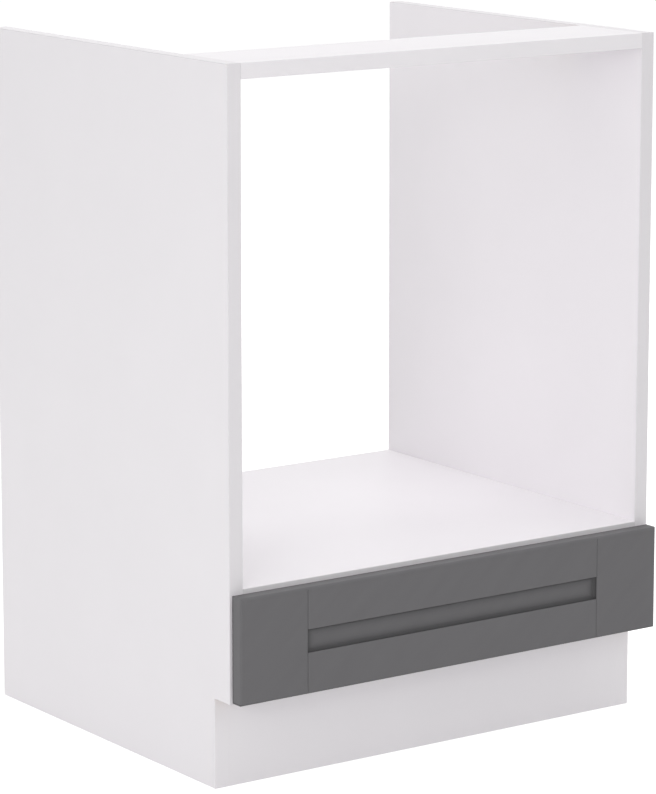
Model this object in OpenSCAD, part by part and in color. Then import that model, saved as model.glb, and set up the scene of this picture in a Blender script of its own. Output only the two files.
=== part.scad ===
// Base unit that houses a built-in oven: two white side panels that stand on the floor, an oven
// shelf, a bottom panel, one top rail and a set-back plinth, with a shallow drawer under the oven.
// Millimetres. X runs across the unit, Y from front to back, Z up from the floor.
// The origin is on the floor at the middle of the unit's width and depth.

/* [Carcass] */
// Width across both side panels
unit_w = 600; // [450:10:900]
// Height from the floor to the top edges
unit_h = 820; // [720:5:900]
// Depth of the side panels
carcass_d = 500; // [480:5:600]
// Thickness of the carcass boards
board_t = 18; // [16:1:20]
// Thickness of the white edge banding
band_t = 1; // [0.4:0.2:2]
// Height of the oven shelf's top face above the floor
shelf_top = 235; // [225:5:300]
// Depth of the top rail, front to back
rail_d = 113; // [90:1:200]
// Height of the toe space, and of the plinth board
toe_h = 105; // [80:5:115]
// Distance from the side panels' front edges back to the plinth's face
toe_setback = 31; // [20:1:80]
// Thickness of the hardboard back behind the drawer
back_t = 3; // [2.5:0.5:6]
// Distance from the hardboard's edges to the outside of what it is nailed to
back_reveal = 2; // [1:0.5:5]

/* [Drawer front] */
// Thickness of the drawer front
front_t = 18; // [16:1:22]
// Distance from each end of the drawer front to the side panels' outer faces
front_reveal = 2; // [1:0.5:4]
// Distance from the underside of the bottom panel up to the drawer front
front_lift = 2; // [0:0.5:5]
// Distance from the top of the drawer front up to the oven shelf's top face
front_drop = 5; // [2:0.5:12]
// Gap between the drawer front and the carcass, filled by the bumpers
front_gap = 2; // [1:0.5:4]
// Radius of the soft edges round the drawer front's face
front_round = 3; // [1:0.5:5]
// Width of the drawer front's upright stiles
stile_w = 90; // [60:1:120]
// Height of the drawer front's upper and lower rails
front_rail_h = 48; // [35:1:52]
// Depth of the straight wall round the milled panel
panel_wall = 2; // [1:0.5:4]
// Width and depth of the bevel that leads from that wall down to the milled panel
panel_bevel = 3; // [1:0.5:4]
// Depth of the V-grooves that part the stiles from the rails
seam_depth = 0.8; // [0.4:0.1:1.5]

/* [Drawer box] */
// Space between the back of the drawer box and the hardboard behind it
drawer_rear_space = 52; // [30:1:150]
// Thickness of the drawer box's boards
drawer_board_t = 16; // [13:1:18]
// Clearance between the drawer box and the underside of the oven shelf
drawer_headroom = 13; // [8:1:20]
// Thickness of the drawer's hardboard bottom
drawer_bottom_t = 3; // [2.5:0.5:5]
// Height of the drawer bottom's groove above the lower edge of the box
groove_lift = 8; // [6:0.5:12]
// Depth of the drawer bottom's groove
groove_depth = 6; // [4:0.5:8]

/* [Runners] */
// Clearance between the drawer box and the carcass on each side
runner_space = 12.5; // [12.2:0.1:14]
// Height of the runners above the bottom panel
runner_lift = 6; // [4:1:12]
// Thickness of the runners' steel
steel_t = 1.2; // [0.8:0.1:1.3]
// Diameter of the rollers
roller_d = 18; // [14:0.5:19]
// Width of the rollers
roller_w = 6.5; // [5:0.5:6.5]
// Diameter of the rollers' axles
axle_d = 5; // [4:0.5:6]
// Distance from a runner's end to its roller's axle
roller_inset = 14; // [12:1:16]
// Width of the carcass runner's flanges
channel_w = 9.5; // [8:0.5:10]
// Width of the drawer runner's flange that rides on the front roller
ride_flange_w = 8.5; // [7:0.5:9]
// Width of the drawer runner's flange under the drawer side
seat_flange_w = 12; // [10:0.5:13]

/* [Fittings] */
// Diameter of the wooden dowels
dowel_d = 8; // [6:1:8]
// Length of the wooden dowels
dowel_l = 30; // [25:1:35]
// Depth that dowels and cam bolts go into the side panels
side_bite = 12; // [10:0.5:13]
// Diameter of the cam locks
cam_d = 15; // [12:0.5:15]
// Height of the cam locks
cam_h = 12.5; // [11:0.5:13]
// Distance from a board's end to the centre of its cam lock
cam_inset = 34; // [28:1:40]
// Distance from a panel's front or back edge to its outer cam bolts
bolt_inset = 50; // [40:1:70]
// Spacing between a cam bolt and the dowel beside it
system_pitch = 32; // [32:1:36]
// Distance from the rail's ends to the pilot holes for worktop screws
pilot_inset = 82; // [60:1:120]
// Diameter of those pilot holes
pilot_d = 4.5; // [3:0.5:6]
// Board left above those pilot holes
pilot_skin = 4; // [2:0.5:6]
// Length of the screws that hold the drawer box together
box_screw_l = 50; // [40:1:60]
// Depth that the screws through the inner front go into the drawer front
front_bite = 12; // [8:1:13]
// Diameter of the soft bumpers
bumper_d = 8; // [6:1:12]
// Length of the nails
nail_l = 18; // [15:1:30]

/* [Hidden] */
$fn = 48;

// Colours
board_white = [0.93, 0.92, 0.93];
front_grey = [0.42, 0.42, 0.43];
hardboard_brown = [0.55, 0.42, 0.30];
beech = [0.80, 0.66, 0.46];
steel = [0.72, 0.72, 0.74];
runner_white = [0.90, 0.90, 0.88];
nylon = [0.85, 0.85, 0.82];
clear_soft = [0.80, 0.80, 0.80];

// Clearances
fit = 0.05;          // all round a pin, screw or dowel in its hole
cut = 1;             // how far a cutter runs past the face that it opens
blind = 0.5;         // left free at the bottom of a blind hole
bumper_clear = 0.2;  // between a bumper and the carcass when the drawer is shut
sheet_clear = 0.1;   // above and below a hardboard sheet in its groove
roll_gap = 0.3;      // between a roller and the flange that it rolls on
head_gap = 0.5;      // between the other side of a roller, or a flange, and the steel above it
side_play = 0.4;     // between a roller and the steel on each side of it
runner_set = 2;      // from the carcass's front edge back to its runners
nose_spare = 3;      // between the front roller and the flange cut away for it
screw_clear = 0.25;  // all round a screw in its hole in the steel

// Places from front to back
unit_d = front_t + front_gap + carcass_d + back_t;
face_y = -unit_d / 2;
front_back_y = face_y + front_t;
carcass_y0 = front_back_y + front_gap;
carcass_y1 = carcass_y0 + carcass_d;
plinth_y = carcass_y0 + toe_setback;

// Places across the unit
outer_x = unit_w / 2;
inner_x = outer_x - board_t;

// Places in height
bottom_top = toe_h + board_t;
shelf_under = shelf_top - board_t;
bottom_mid = toe_h + board_t / 2;
shelf_mid = shelf_top - board_t / 2;
rail_mid = unit_h - board_t / 2;

// The drawer front
front_w = unit_w - 2 * front_reveal;
front_z0 = toe_h + front_lift;
front_z1 = shelf_top - front_drop;
front_h = front_z1 - front_z0;
seam_x = front_w / 2 - stile_w;
panel_z0 = front_z0 + front_rail_h;
panel_z1 = front_z1 - front_rail_h;

// The drawer box from front to back, which the runners follow
box_y0 = front_back_y;
box_y1 = carcass_y1 - drawer_rear_space;
drawer_l = box_y1 - box_y0;

// The runners: a carcass channel, and a drawer member that hangs beside it
runner_z = bottom_top + runner_lift;
channel_h = roller_d + roll_gap + head_gap + 2 * steel_t;
runner_y0 = carcass_y0 + runner_set;
bend_r = 1.5;
member_tuck = 2;
member_z = runner_z + member_tuck;
ride_z = runner_z + channel_h + head_gap;
member_h = ride_z + steel_t - member_z;
front_roller_y = runner_y0 + roller_inset;
front_roller_z = ride_z - roll_gap - roller_d / 2;
rear_roller_z = runner_z + steel_t + roll_gap + roller_d / 2;
nose_l = roller_inset + roller_d / 2 + nose_spare;
rivet_rim = 1.5;
rivet_head_d = axle_d + 2 * rivet_rim;
rivet_head_h = 0.8;
axle_reach = steel_t + roller_w + 2 * side_play;

// The drawer box across and in height
box_x = inner_x - runner_space;
box_z0 = member_z + steel_t;
box_z1 = shelf_under - drawer_headroom;
box_inner_x = box_x - drawer_board_t;
sheet_z = box_z0 + groove_lift + sheet_clear;
groove_h = drawer_bottom_t + 2 * sheet_clear;
sheet_edge = groove_depth - blind;
rear_roller_y = box_y1 - roller_inset;

// Fittings: each place is [y, z] on the inner face of a side panel
front_bolt_y = carcass_y0 + bolt_inset;
rear_bolt_y = carcass_y1 - bolt_inset;
bolt_ys = [front_bolt_y, rear_bolt_y];
dowel_ys = [front_bolt_y + system_pitch, rear_bolt_y - system_pitch];
rail_mid_y = carcass_y0 + rail_d / 2;
plinth_mid_y = plinth_y + board_t / 2;
bottom_bolts = [for (y = bolt_ys) [y, bottom_mid]];
bottom_dowels = [for (y = dowel_ys) [y, bottom_mid]];
shelf_bolts = [for (y = bolt_ys) [y, shelf_mid]];
shelf_dowels = [for (y = dowel_ys) [y, shelf_mid]];
rail_bolts = [[rail_mid_y - system_pitch / 2, rail_mid]];
rail_dowels = [[rail_mid_y + system_pitch / 2, rail_mid]];
plinth_bolts = [[plinth_mid_y, toe_h / 2]];
plinth_dowels = [for (side = [-1, 1]) [plinth_mid_y, toe_h / 2 + side * system_pitch]];
all_bolts = concat(bottom_bolts, shelf_bolts, rail_bolts, plinth_bolts);
all_dowels = concat(bottom_dowels, shelf_dowels, rail_dowels, plinth_dowels);
lying_bolts = concat(bottom_bolts, shelf_bolts, rail_bolts);

bolt_thread_d = 6;
bolt_shaft_d = 6.4;
bolt_neck_d = 4;
bolt_head_h = 3;
bolt_bore_d = 8;
cam_sink = 0.3;
cam_slot_w = 1.6;
cam_slot_l = 8;
cam_slot_h = 2.5;

// Screws: shank, length and head
runner_screw_d = 3.5;
runner_screw_l = 14;
runner_head_d = 6.5;
runner_head_h = 1.2;
runner_hole_d = runner_screw_d + 2 * screw_clear;
seat_screw_l = 10;
seat_screw_inset = 4.5;
seat_screw_end = 45;
front_screw_d = 4;
front_head_d = 8;
front_head_h = 2.4;
front_screw_inset = 100;
front_screw_rise = 1;
front_screw_drop = 11;
box_head_d = 9.8;
box_head_h = 3;
box_neck_d = 6.8;
box_neck_l = 12;
box_thread_d = 4.8;
box_screw_inset = 18;
box_screw_rise = 26;
nail_d = 1.4;
nail_head_d = 3.2;
nail_head_h = 0.6;
nail_inset = 55;
bumper_inset = 10;
bumper_taper = 0.75;

first_hole = 37;
last_hole = 20;
last_step = floor((drawer_l - first_hole - last_hole) / system_pitch);
cabinet_screw_ys = [for (step = [0, floor(last_step / 2), last_step])
    carcass_y0 + first_hole + step * system_pitch];
seat_screw_ys = [box_y0 + seat_screw_end, (box_y0 + box_y1) / 2, box_y1 - seat_screw_end];
box_screw_ys = [box_y0 + drawer_board_t / 2, box_y1 - drawer_board_t / 2];
box_screw_zs = [box_z0 + box_screw_rise, box_z1 - box_screw_inset];
front_screw_x = box_inner_x - front_screw_inset;
front_screw_zs = [sheet_z + groove_h + front_head_d / 2 + front_screw_rise,
    box_z1 - front_screw_drop];
bumper_x = outer_x - board_t / 2;
bumper_zs = [front_z0 + bumper_inset, front_z1 - bumper_inset];
back_z0 = toe_h + back_reveal;
back_z1 = shelf_top - back_reveal;
back_nail_pitch = (inner_x - nail_inset) * 2 / 3;
back_nail_xs = [for (step = [0:3]) -inner_x + nail_inset + step * back_nail_pitch];
drawer_nail_xs = [-box_inner_x + nail_inset, 0, box_inner_x - nail_inset];

// ---- Shapes used more than once ----

// Draws its children, and their mirror image on the other side of the unit
module both_sides() {
    children();
    mirror([1, 0, 0]) children();
}

// A block from its lowest corner to its highest
module block(low, high) {
    translate(low) cube(high - low);
}

// A round bar whose axis runs along X, from x = 0
module bar_x(d, l) {
    rotate([0, 90, 0]) cylinder(d = d, h = l);
}

// A rectangle with four round corners
module soft_rect(w, h, r) {
    translate([r, 0]) square([w - 2 * r, h]);
    translate([0, r]) square([w, h - 2 * r]);
    for (x = [r, w - r], y = [r, h - r])
        translate([x, y]) circle(r);
}

// The section of a steel channel that opens to +X
module channel_section(w, h, t, r) {
    difference() {
        soft_rect(w + 2 * r, h, r);
        translate([t, t]) square([w + 2 * r, h - 2 * t]);
        translate([w, -cut]) square([3 * r, h + 2 * cut]);
    }
}

// The section of a steel angle, with its corner at the origin
module angle_section(w, h, t, r) {
    difference() {
        soft_rect(w + 2 * r, h + 2 * r, r);
        translate([t, t]) square([w + 2 * r, h + 2 * r]);
        translate([w, -cut]) square([3 * r, h + 3 * r]);
        translate([-cut, h]) square([w + 3 * r, 3 * r]);
    }
}

// A length along Y of a section that is drawn in X and Z
module run_y(l) {
    translate([0, l, 0]) rotate([90, 0, 0]) linear_extrude(l) children();
}

// A pan-head screw: the head's seat at z = 0, the shank along +Z
module pan_screw(d, l, head_d, head_h) {
    translate([0, 0, -head_h]) cylinder(d1 = head_d - head_h, d2 = head_d, h = head_h);
    cylinder(d = d, h = l - d);
    translate([0, 0, l - d]) cylinder(d1 = d, d2 = d / 3, h = d);
}

// The hole for such a screw, open at z = 0
module screw_hole(d, l) {
    translate([0, 0, -cut]) cylinder(d = d + 2 * fit, h = l + cut + blind);
}

// ---- Carcass fittings ----

// A steel bolt along +X: threaded into a side panel, its head held by the cam lock
module cam_bolt() {
    shaft_l = cam_inset - cam_d / 2 - 2;
    translate([-side_bite + blind, 0, 0]) bar_x(bolt_thread_d, side_bite - blind);
    bar_x(bolt_shaft_d, shaft_l);
    translate([shaft_l, 0, 0]) bar_x(bolt_neck_d, cam_inset - shaft_l);
    translate([cam_inset - bolt_head_h / 2, 0, 0]) bar_x(bolt_shaft_d, bolt_head_h);
}

// A cam lock that opens at z = 0 and goes up into its board, with the bolt coming from -X
module cam_lock() {
    bolt_z = board_t / 2;
    slot_w = bolt_shaft_d + 1;
    difference() {
        translate([0, 0, cam_sink]) cylinder(d = cam_d - 4 * fit, h = cam_h);
        translate([-cam_d, 0, bolt_z]) bar_x(slot_w, cam_d + bolt_head_h);
        translate([-cam_d, -slot_w / 2, bolt_z]) cube([cam_d + bolt_head_h, slot_w, cam_h]);
        for (turn = [45, 135])
            rotate([0, 0, turn]) translate([-cam_slot_l / 2, -cam_slot_w / 2, 0])
                cube([cam_slot_l, cam_slot_w, cam_slot_h + cam_sink]);
    }
}

// A dowel along X with chamfered ends, from inside the side panel into the board
module dowel() {
    tip = 1;
    translate([-side_bite + blind, 0, 0]) rotate([0, 90, 0]) {
        cylinder(d1 = dowel_d - 2 * tip, d2 = dowel_d, h = tip);
        translate([0, 0, tip]) cylinder(d = dowel_d, h = dowel_l - 2 * tip);
        translate([0, 0, dowel_l - tip]) cylinder(d1 = dowel_d, d2 = dowel_d - 2 * tip, h = tip);
    }
}

// Puts its children at each place, on the inner face of the left side panel
module at_places(places) {
    for (place = places)
        translate([-inner_x, place[0], place[1]]) children();
}

// The holes for bolts and dowels in the two side panels
module side_holes(bolts, dowels) {
    at_places(bolts) translate([-side_bite, 0, 0]) bar_x(bolt_thread_d + 2 * fit, side_bite + cut);
    at_places(dowels) translate([-side_bite, 0, 0]) bar_x(dowel_d + 2 * fit, side_bite + cut);
}

// The holes for bolts and dowels in the two ends of a board
module end_holes(bolts, dowels) {
    dowel_bite = dowel_l - side_bite + 2 * blind;
    both_sides() {
        at_places(bolts) translate([-cut, 0, 0]) bar_x(bolt_bore_d, cam_inset + cut);
        at_places(dowels) translate([-cut, 0, 0]) bar_x(dowel_d + 2 * fit, dowel_bite + cut);
    }
}

// The pockets for cam locks in the underside of a lying board
module cam_pockets(bolts) {
    both_sides() at_places(bolts)
        translate([cam_inset, 0, -board_t / 2 - cut]) cylinder(d = cam_d, h = cam_h + 2 * blind + cut);
}

// ---- Carcass ----

module side_panel() {
    y0 = carcass_y0 + band_t;
    toe_y = plinth_y + band_t;
    color(board_white) difference() {
        translate([-outer_x, 0, 0]) rotate([90, 0, 90]) linear_extrude(board_t) polygon([
            [toe_y, 0], [carcass_y1, 0], [carcass_y1, unit_h - band_t],
            [y0, unit_h - band_t], [y0, toe_h], [toe_y, toe_h]]);
        side_holes(all_bolts, all_dowels);
        for (y = cabinet_screw_ys)
            translate([-inner_x, y, rear_roller_z]) rotate([0, -90, 0])
                screw_hole(runner_screw_d, runner_screw_l - steel_t);
        back_nail_holes();
    }
}

module side_panel_left() { side_panel(); }

module side_panel_right() { mirror([1, 0, 0]) side_panel(); }

// A board that lies between the side panels, from y0 to y1, with its top face at z1
module lying_board(y0, y1, z1) {
    block([-inner_x, y0, z1 - board_t], [inner_x, y1, z1]);
}

module bottom_panel() {
    color(board_white) difference() {
        lying_board(carcass_y0 + band_t, carcass_y1, bottom_top);
        end_holes(bottom_bolts, bottom_dowels);
        cam_pockets(bottom_bolts);
        back_nail_holes();
    }
}

module oven_shelf() {
    color(board_white) difference() {
        lying_board(carcass_y0 + band_t, carcass_y1, shelf_top);
        end_holes(shelf_bolts, shelf_dowels);
        cam_pockets(shelf_bolts);
        back_nail_holes();
    }
}

module top_rail() {
    color(board_white) difference() {
        lying_board(carcass_y0 + band_t, carcass_y0 + rail_d, unit_h);
        end_holes(rail_bolts, rail_dowels);
        cam_pockets(rail_bolts);
        both_sides() translate([-inner_x + pilot_inset, rail_mid_y, unit_h - board_t - cut])
            cylinder(d = pilot_d, h = board_t - pilot_skin + cut);
    }
}

module plinth_board() {
    color(board_white) difference() {
        block([-inner_x, plinth_y, 0], [inner_x, plinth_y + board_t, toe_h]);
        end_holes(plinth_bolts, plinth_dowels);
        both_sides() at_places(plinth_bolts)
            translate([cam_inset, board_t / 2 + cut, 0]) rotate([90, 0, 0])
                cylinder(d = cam_d, h = cam_h + 2 * blind + cut);
    }
}

module back_board() {
    edge_x = outer_x - back_reveal;
    color(hardboard_brown) difference() {
        block([-edge_x, carcass_y1, back_z0], [edge_x, carcass_y1 + back_t, back_z1]);
        back_nail_holes();
    }
}

// Strips on the front edges of the side panels, above and below the toe space's corner
module front_edge_bands() {
    color(board_white) both_sides() {
        block([-outer_x, carcass_y0, toe_h], [-inner_x, carcass_y0 + band_t, unit_h]);
        block([-outer_x, plinth_y, 0], [-inner_x, plinth_y + band_t, toe_h]);
    }
}

module top_edge_bands() {
    color(board_white) both_sides()
        block([-outer_x, carcass_y0 + band_t, unit_h - band_t], [-inner_x, carcass_y1, unit_h]);
}

// The strip on the front edge of a lying board
module board_band(z1) {
    color(board_white)
        block([-inner_x, carcass_y0, z1 - board_t], [inner_x, carcass_y0 + band_t, z1]);
}

module shelf_edge_band() { board_band(shelf_top); }

module rail_edge_band() { board_band(unit_h); }

module bottom_edge_band() { board_band(bottom_top); }

module cam_bolts() {
    color(steel) both_sides() at_places(all_bolts) cam_bolt();
}

module cam_locks() {
    color(steel) both_sides() {
        at_places(lying_bolts) translate([cam_inset, 0, -board_t / 2]) cam_lock();
        at_places(plinth_bolts) translate([cam_inset, board_t / 2, 0]) rotate([90, 0, 0]) cam_lock();
    }
}

module dowels() {
    color(beech) both_sides() at_places(all_dowels) dowel();
}

// Puts its children at each nail of the back, with +Z going into the board
module at_back_nails() {
    for (x = back_nail_xs, z = [bottom_mid, shelf_mid])
        translate([x, carcass_y1 + back_t, z]) rotate([90, 0, 0]) children();
    for (x = [-bumper_x, bumper_x])
        translate([x, carcass_y1 + back_t, (bottom_top + shelf_under) / 2])
            rotate([90, 0, 0]) children();
}

// A flat-headed nail, its head sunk flush at z = 0
module nail() {
    cylinder(d = nail_head_d, h = nail_head_h);
    cylinder(d = nail_d, h = nail_l - nail_d);
    translate([0, 0, nail_l - nail_d]) cylinder(d1 = nail_d, d2 = nail_d / 3, h = nail_d);
}

module nail_hole() {
    translate([0, 0, -cut]) cylinder(d = nail_head_d + 2 * fit, h = nail_head_h + cut);
    cylinder(d = nail_d + 2 * fit, h = nail_l + blind);
}

module back_nail_holes() {
    at_back_nails() nail_hole();
}

module back_nails() {
    color(steel) at_back_nails() nail();
}

// ---- Runners on the carcass ----

// The left-hand channel, its upper flange cut away in front for the roller
module cabinet_runner() {
    color(runner_white) difference() {
        translate([-inner_x, runner_y0, runner_z]) run_y(drawer_l)
            channel_section(channel_w, channel_h, steel_t, bend_r);
        block([-inner_x + steel_t, runner_y0 - cut, runner_z + channel_h / 2],
            [-inner_x + channel_w + cut, runner_y0 + nose_l, runner_z + channel_h + cut]);
        translate([-inner_x - cut, front_roller_y, front_roller_z]) bar_x(axle_d + 2 * fit, steel_t + 2 * cut);
        for (y = cabinet_screw_ys)
            translate([-inner_x - cut, y, rear_roller_z])
                bar_x(runner_hole_d, steel_t + 2 * cut);
    }
}

module cabinet_runner_left() { cabinet_runner(); }

module cabinet_runner_right() { mirror([1, 0, 0]) cabinet_runner(); }

module cabinet_runner_screws() {
    color(steel) both_sides() for (y = cabinet_screw_ys)
        translate([-inner_x + steel_t, y, rear_roller_z]) rotate([0, -90, 0])
            pan_screw(runner_screw_d, runner_screw_l, runner_head_d, runner_head_h);
}

// A nylon roller, centred on its axle, from x = 0
module roller() {
    rim = 0.8;
    color(nylon) rotate([0, 90, 0]) difference() {
        union() {
            cylinder(d1 = roller_d - 2 * rim, d2 = roller_d, h = rim);
            translate([0, 0, rim]) cylinder(d = roller_d, h = roller_w - 2 * rim);
            translate([0, 0, roller_w - rim]) cylinder(d1 = roller_d, d2 = roller_d - 2 * rim, h = rim);
        }
        translate([0, 0, -cut]) cylinder(d = axle_d + 2 * fit, h = roller_w + 2 * cut);
    }
}

// An axle riveted into a runner: the steel's far face at x = 0, the head past the roller
module rivet_axle() {
    bar_x(axle_d, axle_reach);
    translate([axle_reach, 0, 0]) rotate([0, 90, 0])
        cylinder(d1 = rivet_head_d, d2 = rivet_head_d - rivet_head_h, h = rivet_head_h);
}

module front_roller() {
    translate([-inner_x + steel_t + side_play, front_roller_y, front_roller_z]) roller();
}

module front_roller_left() { front_roller(); }

module front_roller_right() { mirror([1, 0, 0]) front_roller(); }

module front_roller_axles() {
    color(steel) both_sides()
        translate([-inner_x, front_roller_y, front_roller_z]) rivet_axle();
}

// ---- Drawer ----

// The section of the drawer front across one direction: a board with two soft front corners.
// Its face lies along y = 0 and its thickness goes to +Y.
module front_section(w) {
    soft_rect(w, front_t, front_round);
    translate([0, front_t / 2]) square([w, front_t / 2]);
}

// A slot with a straight wall and then a bevel, cut into the face at y = 0
module milled_section(w) {
    polygon([[0, -cut], [w, -cut], [w, panel_wall], [w - panel_bevel, panel_wall + panel_bevel],
        [panel_bevel, panel_wall + panel_bevel], [0, panel_wall]]);
}

// Stands a section, drawn in X and Y, up to a height
module upright(h) {
    linear_extrude(h) children();
}

// Lays a section, drawn in height and Y, along X
module lengthwise(l) {
    rotate([0, -90, 0]) mirror([0, 0, 1]) linear_extrude(l) children();
}

module drawer_front() {
    color(front_grey) difference() {
        translate([-front_w / 2, face_y, front_z0]) intersection() {
            upright(front_h) front_section(front_w);
            lengthwise(front_w) front_section(front_h);
        }
        translate([-seam_x, face_y, panel_z0]) intersection() {
            upright(panel_z1 - panel_z0) milled_section(2 * seam_x);
            lengthwise(2 * seam_x) milled_section(panel_z1 - panel_z0);
        }
        for (x = [-seam_x, seam_x])
            translate([x, face_y, front_z0 - cut]) rotate([0, 0, 45])
                translate([-seam_depth / sqrt(2), -seam_depth / sqrt(2), 0])
                    cube([seam_depth * sqrt(2), seam_depth * sqrt(2), front_h + 2 * cut]);
        front_screw_holes();
    }
}

// Puts its children at each screw from the inner front into the drawer front
module at_front_screws() {
    for (x = [-front_screw_x, front_screw_x], z = front_screw_zs)
        translate([x, box_y0 + drawer_board_t, z]) rotate([90, 0, 0]) children();
}

module front_screw_holes() {
    at_front_screws() screw_hole(front_screw_d, drawer_board_t + front_bite);
}

module front_fixing_screws() {
    color(steel) at_front_screws()
        pan_screw(front_screw_d, drawer_board_t + front_bite, front_head_d, front_head_h);
}

// The screws that hold the box's corners, along +X from the outer face of a side
module at_box_screws() {
    for (y = box_screw_ys, z = box_screw_zs)
        translate([-box_x, y, z]) rotate([0, 90, 0]) children();
}

// A box screw, or with a clearance its hole: sunk head, neck and thread
module box_screw(clear) {
    cylinder(d1 = box_head_d + 2 * clear, d2 = box_neck_d + 2 * clear, h = box_head_h);
    cylinder(d = box_neck_d + 2 * clear, h = box_neck_l + clear);
    cylinder(d = box_thread_d + 2 * clear, h = box_screw_l + clear);
}

module box_screw_holes() {
    both_sides() at_box_screws() box_screw(fit);
}

module drawer_box_screws() {
    color(steel) both_sides() at_box_screws() box_screw(0);
}

module drawer_inner_front() {
    color(board_white) difference() {
        block([-box_inner_x, box_y0, box_z0], [box_inner_x, box_y0 + drawer_board_t, box_z1]);
        block([-box_inner_x - cut, box_y0 + drawer_board_t - groove_depth, sheet_z - sheet_clear],
            [box_inner_x + cut, box_y0 + drawer_board_t + cut, sheet_z - sheet_clear + groove_h]);
        front_screw_holes();
        box_screw_holes();
    }
}

module drawer_side() {
    color(board_white) difference() {
        block([-box_x, box_y0, box_z0], [-box_inner_x, box_y1, box_z1]);
        block([-box_inner_x - groove_depth, box_y0 - cut, sheet_z - sheet_clear],
            [-box_inner_x + cut, box_y1 + cut, sheet_z - sheet_clear + groove_h]);
        at_box_screws() box_screw(fit);
        at_seat_screws() screw_hole(runner_screw_d, seat_screw_l - steel_t);
    }
}

module drawer_side_left() { drawer_side(); }

module drawer_side_right() { mirror([1, 0, 0]) drawer_side(); }

module drawer_back() {
    color(board_white) difference() {
        block([-box_inner_x, box_y1 - drawer_board_t, sheet_z + drawer_bottom_t],
            [box_inner_x, box_y1, box_z1]);
        box_screw_holes();
        at_drawer_nails() nail_hole();
    }
}

module drawer_bottom() {
    edge_x = box_inner_x + sheet_edge;
    color(hardboard_brown) difference() {
        block([-edge_x, box_y0 + drawer_board_t - sheet_edge, sheet_z],
            [edge_x, box_y1, sheet_z + drawer_bottom_t]);
        at_drawer_nails() nail_hole();
    }
}

// Puts its children at each nail that goes up through the drawer bottom into the drawer back
module at_drawer_nails() {
    for (x = drawer_nail_xs)
        translate([x, box_y1 - drawer_board_t / 2, sheet_z]) children();
}

module drawer_bottom_nails() {
    color(steel) at_drawer_nails() nail();
}

module front_bumpers() {
    color(clear_soft) both_sides() for (z = bumper_zs)
        translate([-bumper_x, front_back_y, z]) rotate([-90, 0, 0])
            cylinder(d1 = bumper_d, d2 = bumper_d - 2 * bumper_taper, h = front_gap - bumper_clear);
}

// ---- Runners on the drawer ----

// Places on the flange under the left drawer side, with +Z going up into the board
module at_seat_screws() {
    for (y = seat_screw_ys)
        translate([-box_x + seat_screw_inset, y, box_z0]) children();
}

// The left-hand member: a flange under the drawer side, and one that rides on the front roller
module drawer_runner() {
    color(runner_white) difference() {
        union() {
            translate([-box_x - steel_t, box_y0, member_z]) run_y(drawer_l)
                angle_section(seat_flange_w + steel_t, member_h / 2, steel_t, bend_r);
            translate([-box_x, box_y0, ride_z + steel_t]) run_y(drawer_l)
                rotate(180) angle_section(ride_flange_w + steel_t, member_h / 2, steel_t, bend_r);
        }
        translate([-box_x - steel_t - cut, rear_roller_y, rear_roller_z])
            bar_x(axle_d + 2 * fit, steel_t + 2 * cut);
        at_seat_screws() translate([0, 0, -steel_t - cut])
            cylinder(d = runner_hole_d, h = steel_t + 2 * cut);
    }
}

module drawer_runner_left() { drawer_runner(); }

module drawer_runner_right() { mirror([1, 0, 0]) drawer_runner(); }

module drawer_runner_screws() {
    color(steel) both_sides() at_seat_screws() translate([0, 0, -steel_t])
        pan_screw(runner_screw_d, seat_screw_l, runner_head_d, runner_head_h);
}

module rear_roller() {
    translate([-box_x - steel_t - side_play - roller_w, rear_roller_y, rear_roller_z]) roller();
}

module rear_roller_left() { rear_roller(); }

module rear_roller_right() { mirror([1, 0, 0]) rear_roller(); }

module rear_roller_axles() {
    color(steel) both_sides()
        translate([-box_x, rear_roller_y, rear_roller_z]) mirror([1, 0, 0]) rivet_axle();
}

side_panel_left();
side_panel_right();
bottom_panel();
oven_shelf();
top_rail();
plinth_board();
back_board();
front_edge_bands();
top_edge_bands();
shelf_edge_band();
rail_edge_band();
bottom_edge_band();
cam_bolts();
cam_locks();
dowels();
back_nails();
cabinet_runner_left();
cabinet_runner_right();
cabinet_runner_screws();
front_roller_left();
front_roller_right();
front_roller_axles();
drawer_front();
drawer_inner_front();
drawer_side_left();
drawer_side_right();
drawer_back();
drawer_bottom();
drawer_bottom_nails();
drawer_box_screws();
front_fixing_screws();
front_bumpers();
drawer_runner_left();
drawer_runner_right();
drawer_runner_screws();
rear_roller_left();
rear_roller_right();
rear_roller_axles();
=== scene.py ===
# %% [markdown]
# # Dressing an oven housing base unit
#
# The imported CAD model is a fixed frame: every board, screw and roller already stands in its place.
# This file gives it its looks, one piece at a time: boards with softened arrises and raw cut edges,
# a milled grey front, bent and punched runners, turned rollers, and a finish for each material.
# Sizes are written in millimetres, as on a joiner's drawing, and made metres at the very end of
# each piece.

import math

import bmesh
import bpy
from mathutils import Matrix, Vector


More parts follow.
